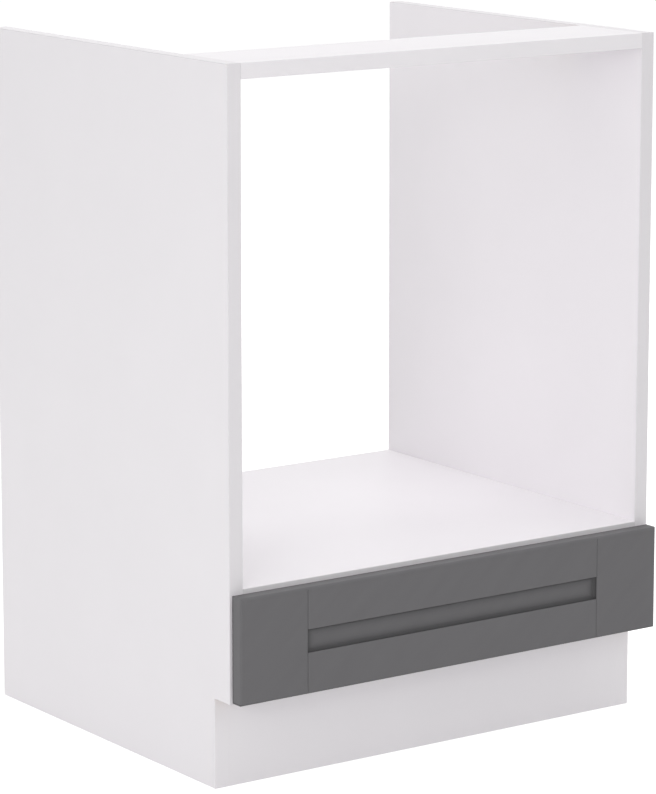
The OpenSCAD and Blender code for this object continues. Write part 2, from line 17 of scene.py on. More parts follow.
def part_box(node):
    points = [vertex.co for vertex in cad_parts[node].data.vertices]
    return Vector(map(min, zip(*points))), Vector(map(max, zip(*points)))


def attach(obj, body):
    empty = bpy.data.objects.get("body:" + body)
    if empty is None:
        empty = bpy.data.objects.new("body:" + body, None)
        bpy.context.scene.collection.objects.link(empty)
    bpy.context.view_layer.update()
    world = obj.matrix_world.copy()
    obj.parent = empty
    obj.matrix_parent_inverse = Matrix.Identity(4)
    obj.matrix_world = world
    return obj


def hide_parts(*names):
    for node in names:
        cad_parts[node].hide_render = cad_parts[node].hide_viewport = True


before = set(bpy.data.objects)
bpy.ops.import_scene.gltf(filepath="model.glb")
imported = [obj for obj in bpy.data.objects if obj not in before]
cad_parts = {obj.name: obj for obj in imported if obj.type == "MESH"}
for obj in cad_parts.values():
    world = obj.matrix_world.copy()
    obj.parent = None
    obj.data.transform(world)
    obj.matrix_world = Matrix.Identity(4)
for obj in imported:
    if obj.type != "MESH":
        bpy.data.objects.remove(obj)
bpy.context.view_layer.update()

# %% [markdown]
# ## Camera
#
# The photo was taken from the left, a little above the unit, with a long lens, so that upright edges
# stay almost upright. A long lens is a large focal length and a camera far away. The last bit of
# framing is done with a small lens shift, which slides the picture without turning the camera.

# %% The camera
YAW, PITCH = 35.19, 10.12              # degrees to the right and down
CAMERA_PLACE = (-2.4721, -3.5107, 1.2428)
FOCAL_PIXELS, LONG_SIDE_PIXELS = 3656.0, 794
SENSOR = 36.0
SHIFT = -0.1                           # of the long side: the picture slides down
NEAREST, FURTHEST = 0.1, 60            # metres

lens = bpy.data.cameras.new("photo_camera")
lens.sensor_width = SENSOR
lens.lens = FOCAL_PIXELS / LONG_SIDE_PIXELS * SENSOR
lens.shift_y = SHIFT
lens.clip_start, lens.clip_end = NEAREST, FURTHEST
camera = bpy.data.objects.new("photo_camera", lens)
camera.location = CAMERA_PLACE
camera.rotation_euler = (math.radians(90 - PITCH), 0, math.radians(-YAW))
scene = bpy.context.scene
scene.collection.objects.link(camera)
scene.camera = camera
scene.view_settings.view_transform = "Standard"
print("lens", round(lens.lens, 1), "mm")

# %% [markdown]
# ## Shader sums that read like sums
#
# A finish in Blender is a tree of nodes, and wiring them one by one hides the idea behind it.
# Here a small class wraps one socket: adding or multiplying two of them adds the Math node
# that does it. A second class holds the tree. Its method `node` makes any other node, sets what
# it is told to, and hands back the socket that comes out. A finish is such a tree with a shader.

# %% Sockets that can be added and multiplied
class Tap:
    """One socket of a tree. Arithmetic on it adds Math nodes."""

    def __init__(self, tree, socket):
        self.tree, self.socket = tree, socket

    def sum(self, operation, *values):
        return self.tree.node("ShaderNodeMath", {"operation": operation}, dict(enumerate(values)))

    def __add__(self, other):
        return self.sum("ADD", self, other)

    def __sub__(self, other):
        return self.sum("SUBTRACT", self, other)

    def __rsub__(self, other):
        return self.sum("SUBTRACT", other, self)

    def __mul__(self, other):
        return self.sum("MULTIPLY", self, other)

    def __lt__(self, other):
        return self.sum("LESS_THAN", self, other)

    def __gt__(self, other):
        return self.sum("GREATER_THAN", self, other)

    def __abs__(self):
        return self.sum("ABSOLUTE", self)

    __radd__, __rmul__ = __add__, __mul__


# %% A tree of nodes
def plain(words):
    return words.replace("_", " ").lower()


def named(sockets, name):
    """The socket with that name or identifier. base_color finds Base Color."""
    return next(s for s in sockets if plain(name) in (plain(s.identifier), plain(s.name)))


class Tree:
    """The nodes of a material or of the world."""

    def __init__(self, owner):
        owner.use_nodes = True
        self.nodes, self.links = owner.node_tree.nodes, owner.node_tree.links

    def node(self, kind, settings=None, sockets=None, output=0):
        made = self.nodes.new(kind)
        for key, value in (settings or {}).items():
            if key == "stops":
                ramp = made.color_ramp.elements
                for _ in value[2:]:
                    ramp.new(1.0)
                for element, (position, colour) in zip(ramp, value):
                    element.position, element.color = position, colour
            else:
                setattr(made, key, value)
        for key, value in (sockets or {}).items():
            self.feed(made, key, value)
        if isinstance(output, int):
            return Tap(self, made.outputs[output])
        return Tap(self, named(made.outputs, output))

    def feed(self, node, key, value):
        socket = node.inputs[key] if isinstance(key, int) else named(node.inputs, key)
        if isinstance(value, Tap):
            self.links.new(value.socket, socket)
        else:
            socket.default_value = value


# %% A finish
class Finish(Tree):
    """A material. Values that stay the same all over are set on its shader when it is made."""

    def __init__(self, name, **shader_values):
        self.material = bpy.data.materials.new(name)
        super().__init__(self.material)
        self.shader = self.nodes["Principled BSDF"]
        for key, value in shader_values.items():
            self.feed(self.shader, key, value)
        self.place = self.node("ShaderNodeTexCoord", output="Object")

    def look(self, **sockets):
        """Feeds what changes over the surface to the shader, and gives back the material."""
        for key, value in sockets.items():
            self.feed(self.shader, key, value)
        return self.material

    def stretched(self, x=1.0, y=1.0, z=1.0, turn=(0, 0, 0)):
        """Object coordinates, stretched or squeezed along an axis, after a turn in degrees."""
        angles = tuple(math.radians(a) for a in turn)
        turned = self.node("ShaderNodeMapping", {}, {"Vector": self.place, "Rotation": angles})
        return self.node("ShaderNodeMapping", {}, {"Vector": turned, "Scale": (x, y, z)})

    def noise(self, size, detail=2.0, place=None):
        """Soft noise from 0 to 1 whose lumps are about that many millimetres across."""
        return self.node("ShaderNodeTexNoise", {}, {
            "Vector": place or self.place, "Scale": 1000.0 / size, "Detail": detail}, "Fac")

    def mix(self, share, first, second, way="MIX"):
        """A colour between two others. The way MULTIPLY lets the second one darken the first."""
        return self.node("ShaderNodeMix", {"data_type": "RGBA", "blend_type": way}, {
            "Factor_Float": share, "A_Color": first, "B_Color": second}, "Result_Color")

    def ramp(self, share, *stops):
        """A colour read off a strip with these stops."""
        return self.node("ShaderNodeValToRGB", {"stops": stops}, {"Fac": share}, "Color")

    def bump(self, height, millimetres, strength=1.0):
        """A normal for a surface whose height goes up by that much as height goes from 0 to 1."""
        return self.node("ShaderNodeBump", {}, {
            "Height": height, "Distance": millimetres / 1000, "Strength": strength}, "Normal")

    def along(self, axis):
        """How far a point lies from the middle of the unit along an axis, in millimetres."""
        return abs(self.node("ShaderNodeSeparateXYZ", {}, {"Vector": self.place}, axis) * 1000)

    def near(self, axis, middle, reach):
        """1 within reach of a place along an axis, on either side of the unit, and 0 elsewhere."""
        return abs(self.along(axis) - middle) < reach


def paint(red, green, blue):
    """A colour from a paint chart, 0 to 255, made linear as shaders want it."""
    return tuple(((c / 255 + 0.055) / 1.055) ** 2.4 for c in (red, green, blue)) + (1.0,)


# %% [markdown]
# ## White board and its edging
#
# The carcass is chipboard faced with white melamine: a paper soaked in resin and pressed on a
# textured plate, which leaves a fine pearl. It is not quite one white, so a broad soft noise mixes
# two whites, and a fine noise of under a millimetre feeds both the roughness and the bump.
# The edging is a plastic strip, smoother, and a hair darker than the boards. The strip of the oven
# shelf, just above the grey front, is a darker white still: painted shade, where the front below
# shades it.

# %% White finishes
DRIFT_SIZE = 90        # millimetres
PEARL_HEIGHT = 0.02


def white_finish(name, bright, dim, pearl_size, least_rough, **shader_values):
    """A white surface with a broad drift in colour and a fine pearl."""
    made = Finish(name, **shader_values)
    pearl = made.noise(pearl_size, detail=3.0)
    return made.look(
        base_color=made.mix(made.noise(DRIFT_SIZE), bright, dim),
        roughness=least_rough + 0.1 * pearl,
        normal=made.bump(pearl, PEARL_HEIGHT),
    )


white_melamine = white_finish("white_melamine", bright=paint(244, 241, 244),
                              dim=paint(241, 238, 241), pearl_size=0.7, least_rough=0.39)
white_edging = white_finish("edging_white", bright=paint(234, 231, 234), dim=paint(231, 228, 231),
                            pearl_size=0.4, least_rough=0.37, specular_ior_level=0.4)
# Painted shade: the shelf's edging is a darker white because the grey front below shades it.
shelf_edging_in_painted_shade = white_finish("shelf_edging_painted_shade", bright=paint(222, 220, 222),
                            dim=paint(218, 216, 218), pearl_size=0.4, least_rough=0.42,
                            specular_ior_level=0.3)
white_lacquer = white_finish("white_lacquer", bright=paint(232, 230, 228),
                             dim=paint(226, 224, 221), pearl_size=1.4, least_rough=0.47)
print("white finishes:", [material.name for material in bpy.data.materials])

# %% [markdown]
# ## Raw chipboard
#
# Cut edges that carry no edging show what the board is made of: pressed flakes of wood, one to three
# millimetres long, with small dark voids between them. A Voronoi texture splits space into cells, and
# each cell's own random colour picks a tan from a ramp, so a cell reads as one flake.

# %% Raw chipboard
FLAKES_PER_METRE = 900.0
FLAKE_HEIGHT = 0.25


def chipboard_finish():
    made = Finish("raw_chipboard")
    flakes = made.node("ShaderNodeTexVoronoi", {}, {
        "Vector": made.stretched(x=0.7, y=0.45, z=0.9), "Scale": FLAKES_PER_METRE}, "Color")
    flake_tone = made.node("ShaderNodeSeparateXYZ", {}, {"Vector": flakes}, "X")
    fuzz = made.noise(0.8, detail=4.0)
    wood = made.ramp(
        flake_tone * 0.8 + fuzz * 0.2,
        (0.0, paint(112, 84, 55)), (0.2, paint(158, 125, 86)),
        (0.6, paint(190, 158, 116)), (1.0, paint(214, 187, 146)))
    return made.look(base_color=wood, roughness=0.72 + 0.2 * fuzz,
                     normal=made.bump(flake_tone * 0.6 + fuzz * 0.4, FLAKE_HEIGHT))


raw_chipboard = chipboard_finish()
print("cut edges:", raw_chipboard.name)

# %% [markdown]
# ## Grey foil of the front
#
# The front is fibreboard, milled and then wrapped in a matt grey foil. Up close the foil has a dry
# leathery grain. From further away the photo shows very faint slanting streaks, so a noise is turned
# and stretched along its slope, and moves the grey by a hair. The sunken panel gets painted shade:
# its grey is darker, most of all along the lips, where shade falls in the recess. The distance to the
# nearest lip comes from the place along X and Z, and a ramp turns it into the painted shade. The
# last bit of foil before the back and along the lower arris is darker too: painted shade in the gap
# behind the front and under its lower edge.

# %% Grey foil
TOUCH = 0.01           # places closer together than this are the same
PANEL_HALF_X, PANEL_HALF_Z, PANEL_MIDDLE_Z = 208.0, 13.5, 168.5
PANEL_DEPTHS = (258.7, 2.6)            # the middle of its depth along Y, and its reach
# Painted shade in the sunken panel reaches further in at its ends.
PAINTED_SHADE_END_PULL = 0.75        # the dark reaches further in at the panel's ends
# Where painted shade darkens the foil: before the back arris, and along the lower arris.
BACK_ARRIS_PAINTED_SHADE, LOWER_ARRIS_PAINTED_SHADE = (244.6, 1.0), (108.0, 0.9)     # their middles along Y and Z, and reach
GRAIN_HEIGHT = 0.025


def shade(level):
    return (level, level, level, 1.0)


def foil_finish():
    made = Finish("grey_foil", specular_ior_level=0.4)
    grain = made.noise(0.5, detail=3.0)
    streaks = made.noise(26, place=made.stretched(x=0.25, z=1.6, turn=(0, 40, 0)))
    grey = made.mix(streaks * 0.8 + grain * 0.2, paint(98, 97, 99), paint(106, 105, 107))
    # Painted shade in the sunken panel: darkest at its lips, lighter towards its middle.
    from_end = (PANEL_HALF_X - made.along("X")) * PAINTED_SHADE_END_PULL
    from_lip = PANEL_HALF_Z - abs(made.along("Z") - PANEL_MIDDLE_Z)
    inside = from_end.sum("MINIMUM", from_end, from_lip)
    recess_shade_mask = (inside > -TOUCH) * made.near("Y", *PANEL_DEPTHS)
    painted_recess_shade = made.ramp(inside * (1 / PANEL_HALF_Z), (0.0, shade(0.34)), (0.08, shade(0.44)),
                          (0.22, shade(0.6)), (0.37, shade(0.74)), (0.67, shade(0.88)),
                          (1.0, shade(0.92)))
    # Painted shade: dark lines along the back arris, in the gap behind the front, and along the lower
    # arris, which faces down.
    lines = made.near("Y", *BACK_ARRIS_PAINTED_SHADE).sum(
        "MAXIMUM", made.near("Y", *BACK_ARRIS_PAINTED_SHADE), made.near("Z", *LOWER_ARRIS_PAINTED_SHADE))
    grey_with_painted_recess_shade = made.mix(recess_shade_mask, grey, painted_recess_shade, "MULTIPLY")
    return made.look(
        base_color=made.mix(lines, grey_with_painted_recess_shade, shade(0.55), "MULTIPLY"),
        roughness=0.5 + 0.12 * grain,
        normal=made.bump(grain, GRAIN_HEIGHT),
    )


grey_foil = foil_finish()
print("front:", grey_foil.name)

# %% [markdown]
# ## Hardboard
#
# The back strip and the drawer bottom are thin pressed fibre. The outer face is brown, mottled, with
# short dark fibres, and shows the weave of the wire screen that it was pressed on. Two sets of fine
# waves, one across and one up, make that weave. The inner face is sprayed white.

# %% Hardboard
WIRES_PER_METRE = 260.0
WEAVE_HEIGHT = 0.12


def hardboard_finish():
    made = Finish("brown_hardboard")
    mottle = made.noise(12, detail=4.0)
    fibres = made.noise(1.2, detail=4.0, place=made.stretched(x=0.3))
    waves = [made.node("ShaderNodeTexWave", {"bands_direction": axis}, {
        "Vector": made.place, "Scale": WIRES_PER_METRE, "Distortion": 0.6}, "Fac") for axis in "XZ"]
    brown = made.ramp(mottle * 0.5 + fibres * 0.5, (0.25, paint(96, 66, 42)),
                      (0.5, paint(132, 96, 64)), (0.75, paint(160, 122, 86)))
    return made.look(base_color=brown, roughness=0.62 + 0.2 * fibres,
                     normal=made.bump(waves[0] * waves[1] + fibres * 0.5, WEAVE_HEIGHT))


brown_hardboard = hardboard_finish()
print("sheets:", brown_hardboard.name)

# %% [markdown]
# ## Metals, enamel and plastics
#
# Screws are steel with a thin coat of zinc, bright and a little blotchy. Cam locks are cast zinc:
# duller, with the grain of the mould. The runners are steel under white enamel, worn to grey
# where the rollers run, which is a mask made of places along X and Z. Rollers are milky nylon.

# %% Metals
def metal_finish(name, bright, dark, blotch_size, least_rough, pit_depth):
    made = Finish(name, metallic=1.0)
    blotches = made.noise(blotch_size, detail=3.0)
    pits = made.noise(0.35, detail=3.0)
    return made.look(base_color=made.mix(blotches, bright, dark),
                     roughness=least_rough + 0.25 * blotches, normal=made.bump(pits, pit_depth))


zinc_plate = metal_finish("zinc_plate", bright=paint(205, 208, 214), dark=paint(176, 178, 176),
                          blotch_size=3.0, least_rough=0.2, pit_depth=0.01)
cast_zinc = metal_finish("zinc_casting", bright=paint(170, 171, 174), dark=paint(142, 143, 147),
                         blotch_size=5.0, least_rough=0.38, pit_depth=0.05)
print("metals:", zinc_plate.name, cast_zinc.name)


# %% Enamel
TRACK_Z, RIDE_Z, TRACK_X = 130.2, 150.7, 277.2     # where the rollers touch the steel
TRACK_DEPTH, TRACK_HALF_W = 0.15, 2.6
WORN_FROM, WORN_SHARE = 0.42, 0.55
PEEL_HEIGHT = 0.03


def enamel_finish():
    made = Finish("enamelled_steel", coat_weight=0.2)
    peel = made.noise(1.6)
    scuffs = made.noise(2.5, detail=3.0, place=made.stretched(y=0.06))
    track = made.near("Z", TRACK_Z, TRACK_DEPTH) + made.near("Z", RIDE_Z, TRACK_DEPTH)
    worn = track * made.near("X", TRACK_X, TRACK_HALF_W) * (scuffs > WORN_FROM) * WORN_SHARE
    enamel = made.mix(peel, paint(234, 233, 229), paint(227, 226, 221))
    return made.look(
        base_color=made.mix(worn, enamel, paint(150, 150, 152)),
        roughness=0.3 + 0.1 * peel + 0.15 * worn,
        normal=made.bump(peel, PEEL_HEIGHT),
    )


runner_enamel = enamel_finish()
print("runners:", runner_enamel.name)


# %% Plastics and beech
def plastic_finish(name, light, dark, least_rough, **shader_values):
    made = Finish(name, **shader_values)
    drift = made.noise(4.0)
    fine = made.noise(0.3)
    return made.look(base_color=made.mix(drift, light, dark), roughness=least_rough + 0.12 * fine,
                     normal=made.bump(fine, 0.01))


nylon = plastic_finish("milky_nylon", light=paint(226, 224, 214), dark=paint(216, 213, 202),
                       least_rough=0.34)
soft_plastic = plastic_finish("soft_clear_plastic", light=paint(222, 224, 226),
                              dark=paint(208, 210, 213), least_rough=0.22,
                              transmission_weight=0.45, ior=1.45)


def beech_finish():
    made = Finish("beech_wood")
    rings = made.noise(2.2, detail=3.0, place=made.stretched(x=0.08))
    pores = made.noise(0.5, place=made.stretched(x=0.12))
    tone = made.ramp(rings * 0.7 + pores * 0.3, (0.3, paint(176, 134, 92)),
                     (0.55, paint(205, 166, 122)), (0.8, paint(222, 188, 146)))
    return made.look(base_color=tone, roughness=0.55 + 0.15 * pores, normal=made.bump(pores, 0.05))


beech = beech_finish()
print("finishes made:", len(bpy.data.materials))

# %% [markdown]
# ## From a mesh in millimetres to a piece
#
# Every piece ends the same way: its mesh is scaled to metres, shaded smooth between faces that
# meet at a small angle, and given its finishes. Weighted normals keep large flat faces
# flat beside a small rounding. Then the piece is parented to an empty for the CAD body it rides on,
# and the CAD nodes it stands for are hidden.

# %% The last step of every piece
MM = 0.001
SMOOTH_UP_TO = 40      # degrees


def piece(bm, name, finishes, body, slot, *nodes):
    bmesh.ops.scale(bm, vec=(MM, MM, MM), verts=bm.verts)
    for face in bm.faces:
        face.smooth = True
    mesh = bpy.data.meshes.new(name)
    bm.to_mesh(mesh)
    bm.free()
    mesh.set_sharp_from_angle(angle=math.radians(SMOOTH_UP_TO))
    for finish in finishes:
        mesh.materials.append(finish)
    made = bpy.data.objects.new(name, mesh)
    scene.collection.objects.link(made)
    made.modifiers.new("flat_faces_stay_flat", "WEIGHTED_NORMAL").keep_sharp = True
    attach(made, body)
    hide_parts(*nodes)
    print(f"{name}: {len(mesh.polygons)} faces, stands for {', '.join(nodes)}")
    return made


# %% [markdown]
# ## Boards
#
# The CAD boards are already drilled for every bolt, dowel and screw, so a board isn't drawn again:
# a copy of its mesh is merged, because the CAD's triangles don't share corners, and its flat faces
# are joined. A real arris is never a perfect line, so the long outer edges get a small bevel, which
# catches the light. Faces inside a drilled hole, and edges that have no edging, are raw chipboard.

# %% Copying and softening a CAD board
ARRIS = 0.4            # how much of a board's edge is rounded
LONG_EDGE = 12.0       # shorter edges belong to holes
SKIN = 1.0             # a face deeper inside than this was cut or drilled
STRAIGHT = 0.99        # a normal this close to an axis points along it
SAME_CORNER = 0.001    # corners of the CAD mesh that are one corner
FLAT_WITHIN, SHARP_FROM = 0.5, 60      # degrees between two faces


def is_sharp(edge):
    """Whether an edge sticks out and its faces meet at a large angle."""
    return edge.is_convex and edge.calc_face_angle(0) > math.radians(SHARP_FROM)


def merged_copy(node):
    """The mesh of a CAD node in millimetres, as one skin of flat faces."""
    bm = bmesh.new()
    bm.from_mesh(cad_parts[node].data)
    bmesh.ops.scale(bm, vec=(1 / MM, 1 / MM, 1 / MM), verts=bm.verts)
    bmesh.ops.remove_doubles(bm, verts=bm.verts, dist=SAME_CORNER)
    bmesh.ops.dissolve_limit(bm, angle_limit=math.radians(FLAT_WITHIN), verts=bm.verts,
                             edges=bm.edges)
    return bm


def soften(bm, edges, width, segments=3):
    """Rounds edges."""
    return bmesh.ops.bevel(bm, geom=edges, offset=width, offset_type="OFFSET", segments=segments,
                           profile=0.5, affect="EDGES", clamp_overlap=True, material=-1)


def board(node, name, raw_sides, body="carcass", slot="white_board",
          finishes=(white_melamine, raw_chipboard), sharp_axis=None):
    """A dressed copy of a drilled board. raw_sides are (axis, sign) of its uncovered cut edges, and
    edges along sharp_axis stay as sharp as the saw left them."""
    bm = merged_copy(node)
    outer = [e for e in bm.edges if is_sharp(e) and e.calc_length() > LONG_EDGE]
    if sharp_axis is not None:
        outer = [e for e in outer
                 if abs(e.verts[0].co[sharp_axis] - e.verts[1].co[sharp_axis]) < TOUCH]
    soften(bm, outer, ARRIS)
    low, high = (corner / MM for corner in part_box(node))
    for face in bm.faces:
        centre = face.calc_center_median()
        depth = min(min(centre[a] - low[a], high[a] - centre[a]) for a in range(3))
        raw = depth > SKIN or any(face.normal[a] * sign > STRAIGHT for a, sign in raw_sides)
        face.material_index = int(raw)
    return piece(bm, name, finishes, body, slot, node)


# %% The carcass boards
X, Y, Z = 0, 1, 2
BACK_AND_FLOOR = [(Y, 1), (Z, -1)]
BACK, FRONT, TOP_AND_FLOOR = [(Y, 1)], [(Y, -1)], [(Z, 1), (Z, -1)]

board("side_panel_left", "left_side_board", BACK_AND_FLOOR)
board("side_panel_right", "right_side_board", BACK_AND_FLOOR)
board("bottom_panel", "bottom_board", BACK)
board("oven_shelf", "shelf_board", BACK)
board("top_rail", "rail_board", BACK)
board("plinth_board", "toe_board", TOP_AND_FLOOR, sharp_axis=Z)

# %% The boards of the drawer box, and the two sheets of hardboard
DRAWER = {"body": "drawer"}
board("drawer_inner_front", "box_front_board", [], **DRAWER)
board("drawer_side_left", "box_left_board", BACK, **DRAWER)
board("drawer_side_right", "box_right_board", BACK, **DRAWER)
board("drawer_back", "box_back_board", [], **DRAWER)
SHEET = {"slot": "hardboard", "finishes": (brown_hardboard, white_lacquer)}
board("back_board", "back_sheet", FRONT, **SHEET)
board("drawer_bottom", "box_bottom_sheet", [(Z, 1)], **SHEET, **DRAWER)

# %% [markdown]
# ## Edging
#
# The strips on the visible edges are one millimetre thick and are trimmed with a small radius along
# both sides, which gives the boards their soft front edge. Each strip is a block whose two outer
# long edges are rounded. Beside the plinth the photo shows no joint, so the strips there are
# trimmed with a finer radius and are as bright as the boards.

# %% Blocks and the edges that lie in a plane
BAND_ROUND, TOE_ROUND = 0.7, 0.25


def block(bm, low, high):
    """Adds a block from its lowest corner to its highest."""
    low, high = Vector(low), Vector(high)
    size = Matrix.Diagonal((*(high - low), 1.0))
    return bmesh.ops.create_cube(bm, size=1.0, matrix=Matrix.Translation((low + high) / 2) @ size)


def edges_in(bm, axis, place, longer_than=0.0):
    """The edges that lie in the plane at a place along an axis."""
    return [e for e in bm.edges if e.calc_length() > longer_than
            and all(abs(v.co[axis] - place) < TOUCH for v in e.verts)]


def edging(name, node, strips, axis, outer_rounds, *finishes):
    """Strips whose outer planes are rounded, each with its own radius and finish."""
    bm = bmesh.new()
    for low, high in strips:
        block(bm, low, high)
    for finish_index, (place, radius) in enumerate(outer_rounds):
        soften(bm, edges_in(bm, axis, place, 2 * LONG_EDGE), radius)
        for face in bm.faces:
            if abs(face.calc_center_median()[axis] - place) < BAND + TOUCH:
                face.material_index = finish_index
    return piece(bm, name, finishes, "carcass", "white_edging", node)


# %% The strips
OUTER_X, INNER_X = 300.0, 282.0
CARCASS_Y, TOE_Y, REAR_Y = -241.5, -210.5, 258.5
BAND = 1.0
TOE_Z, UNIT_Z = 105.0, 820.0
SIDES = (-1, 1)
NAMED_SIDES = (("left", -1), ("right", 1))


def strip_at(side, y0, y1, z0, z1):
    """The corners of a strip on the left (-1) or right (1) side panel."""
    xs = sorted((side * OUTER_X, side * INNER_X))
    return (xs[0], y0, z0), (xs[1], y1, z1)


front_strips = [strip_at(side, CARCASS_Y, CARCASS_Y + BAND, TOE_Z, UNIT_Z) for side in SIDES]
toe_strips = [strip_at(side, TOE_Y, TOE_Y + BAND, 0, TOE_Z) for side in SIDES]
top_strips = [strip_at(side, CARCASS_Y + BAND, REAR_Y, UNIT_Z - BAND, UNIT_Z) for side in SIDES]
edging("side_front_edging", "front_edge_bands", front_strips + toe_strips, Y,
       ((CARCASS_Y, BAND_ROUND), (TOE_Y, TOE_ROUND)), white_edging, white_melamine)
edging("side_top_edging", "top_edge_bands", top_strips, Z, ((UNIT_Z, BAND_ROUND),), white_edging)
for name, node, finish in (("shelf_edging_in_painted_shade", "shelf_edge_band", shelf_edging_in_painted_shade),
                           ("rail_edging", "rail_edge_band", white_melamine),
                           ("bottom_edging", "bottom_edge_band", white_edging)):
    edging(name, node, [[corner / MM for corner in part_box(node)]], Y,
           ((CARCASS_Y, BAND_ROUND),), finish)

# %% [markdown]
# ## The milled front
#
# The front looks like a frame with a panel, but it is one board: a router cuts a sunken panel and
# two fine V-grooves where the rails of a real frame would meet the stiles. It starts as a block.
# Its front arrises are rounded first, while the mesh is simple. Then planes cut lines into it where
# the panel and grooves go, the panel's face is inset and pushed in twice (a straight wall, then a
# bevel), and the middle line of each groove is pushed back. The foil is pressed on from the front
# and round the edges, so the back shows the white melamine of the raw board.

# %% The front as a block with soft arrises
FACE_Y, FRONT_BACK_Y = -261.5, -243.5
FRONT_X, FRONT_Z0, FRONT_Z1 = 298.0, 107.0, 230.0
FRONT_ROUND = 3.0

front = bmesh.new()
block(front, (-FRONT_X, FACE_Y, FRONT_Z0), (FRONT_X, FRONT_BACK_Y, FRONT_Z1))
soften(front, edges_in(front, Y, FACE_Y), FRONT_ROUND, segments=6)
soften(front, edges_in(front, Y, FRONT_BACK_Y), ARRIS)

# %% Its sunken panel
SEAM_X = PANEL_HALF_X
PANEL_Z0, PANEL_Z1 = PANEL_MIDDLE_Z - PANEL_HALF_Z, PANEL_MIDDLE_Z + PANEL_HALF_Z
PANEL_WALL, PANEL_BEVEL = 2.0, 3.0
ON_THE_PLANE = 1e-5


def cut_line(bm, axis, place):
    """Cuts a line into every face that a plane across an axis meets."""
    bmesh.ops.bisect_plane(bm, geom=[*bm.verts, *bm.edges, *bm.faces], dist=ON_THE_PLANE,
                           plane_co=[place * (a == axis) for a in range(3)],
                           plane_no=[float(a == axis) for a in range(3)])


for place in (-SEAM_X, SEAM_X):
    cut_line(front, X, place)
for place in (PANEL_Z0, PANEL_Z1):
    cut_line(front, Z, place)
panel = [f for f in front.faces if f.normal.y < -STRAIGHT
         and abs(f.calc_center_median().x) < SEAM_X
         and PANEL_Z0 < f.calc_center_median().z < PANEL_Z1]
bmesh.ops.inset_region(front, faces=panel, thickness=0.0, depth=-PANEL_WALL, use_even_offset=True)
bmesh.ops.inset_region(front, faces=panel, thickness=PANEL_BEVEL, depth=-PANEL_BEVEL,
                       use_even_offset=True)
print("panel floor at y", [round(f.calc_center_median().y, 2) for f in panel])

# %% Its two grooves
SEAM_DEPTH = 0.8
for side in SIDES:
    for lip in SIDES:
        cut_line(front, X, side * SEAM_X + lip * SEAM_DEPTH)
groove_floor = [v for v in front.verts if abs(abs(v.co.x) - SEAM_X) < TOUCH
                and v.co.y < FACE_Y + SEAM_DEPTH]
for vertex in groove_floor:
    vertex.co.y = FACE_Y + SEAM_DEPTH
for face in front.faces:
    face.material_index = int(face.normal.y > STRAIGHT)
piece(front, "milled_front", [grey_foil, white_melamine], "drawer", "grey_front", "drawer_front")

# %% [markdown]
# ## Turned shapes and copies
#
# Rollers, axles, nails and bumpers are round, so each is half a section that is spun about an axis.
# A shape that comes back several times is made once at the origin and stamped at each place with a
# matrix: where it goes, and which way its own Z axis points.

# %% Spinning a section, and stamping copies
ROUND = 24             # steps in a full turn
SAME_POINT = 1e-4      # points closer together than this are one point


def turned(section, steps=ROUND, closed=False):
    """A shape spun about Z from a section of (radius, z) points."""
    bm = bmesh.new()
    points = [bm.verts.new((radius, 0, z)) for radius, z in section]
    chain = points + points[:1] * closed
    lines = [bm.edges.new(pair) for pair in zip(chain, chain[1:])]
    bmesh.ops.spin(bm, geom=points + lines, cent=(0, 0, 0), axis=(0, 0, 1), dvec=(0, 0, 0),
                   angle=math.tau, steps=steps, use_merge=True, use_duplicate=False)
    bmesh.ops.remove_doubles(bm, verts=bm.verts, dist=SAME_POINT)
    bmesh.ops.recalc_face_normals(bm, faces=bm.faces)
    return bm


def toward(place, direction):
    """A matrix that takes the origin to a place and +Z to a direction."""
    turn = Vector(direction).to_track_quat("Z", "Y").to_matrix().to_4x4()
    return Matrix.Translation(place) @ turn


def stamped(master, places):
    """One mesh with a copy of the master at each place."""
    seed = bpy.data.meshes.new("seed")
    master.to_mesh(seed)
    master.free()
    bm = bmesh.new()
    for place in places:
        before = len(bm.verts)
        bm.from_mesh(seed)
        bm.verts.ensure_lookup_table()
        bmesh.ops.transform(bm, matrix=place, verts=bm.verts[before:])
    bpy.data.meshes.remove(seed)
    return bm


# %% [markdown]
# ## Screws
#
# A screw head is more than a disc: the tool needs something to grip. The recess starts as its
# outline, a cross or a hexagon, inside a circle. Bridging the two gives the flat top with an
# opening. From there the circle is extruded ring by ring into the head and the shank, and the
# outline is extruded down into the recess.

# %% Rings, recesses and screws
def grow(bm, loop, radius, rings):
    """Extrudes a loop of edges about Z to each (radius, z) in turn, and closes the end."""
    for new_radius, z in rings:
        made = bmesh.ops.extrude_edge_only(bm, edges=loop)["geom"]
        verts = [v for v in made if isinstance(v, bmesh.types.BMVert)]
        share = new_radius / radius
        bmesh.ops.scale(bm, vec=(share, share, 1), verts=verts)
        for vertex in verts:
            vertex.co.z = z
        known = set(verts)
        loop = [e for e in made if isinstance(e, bmesh.types.BMEdge) and known.issuperset(e.verts)]
        radius = new_radius
    bmesh.ops.edgeloop_fill(bm, edges=loop)


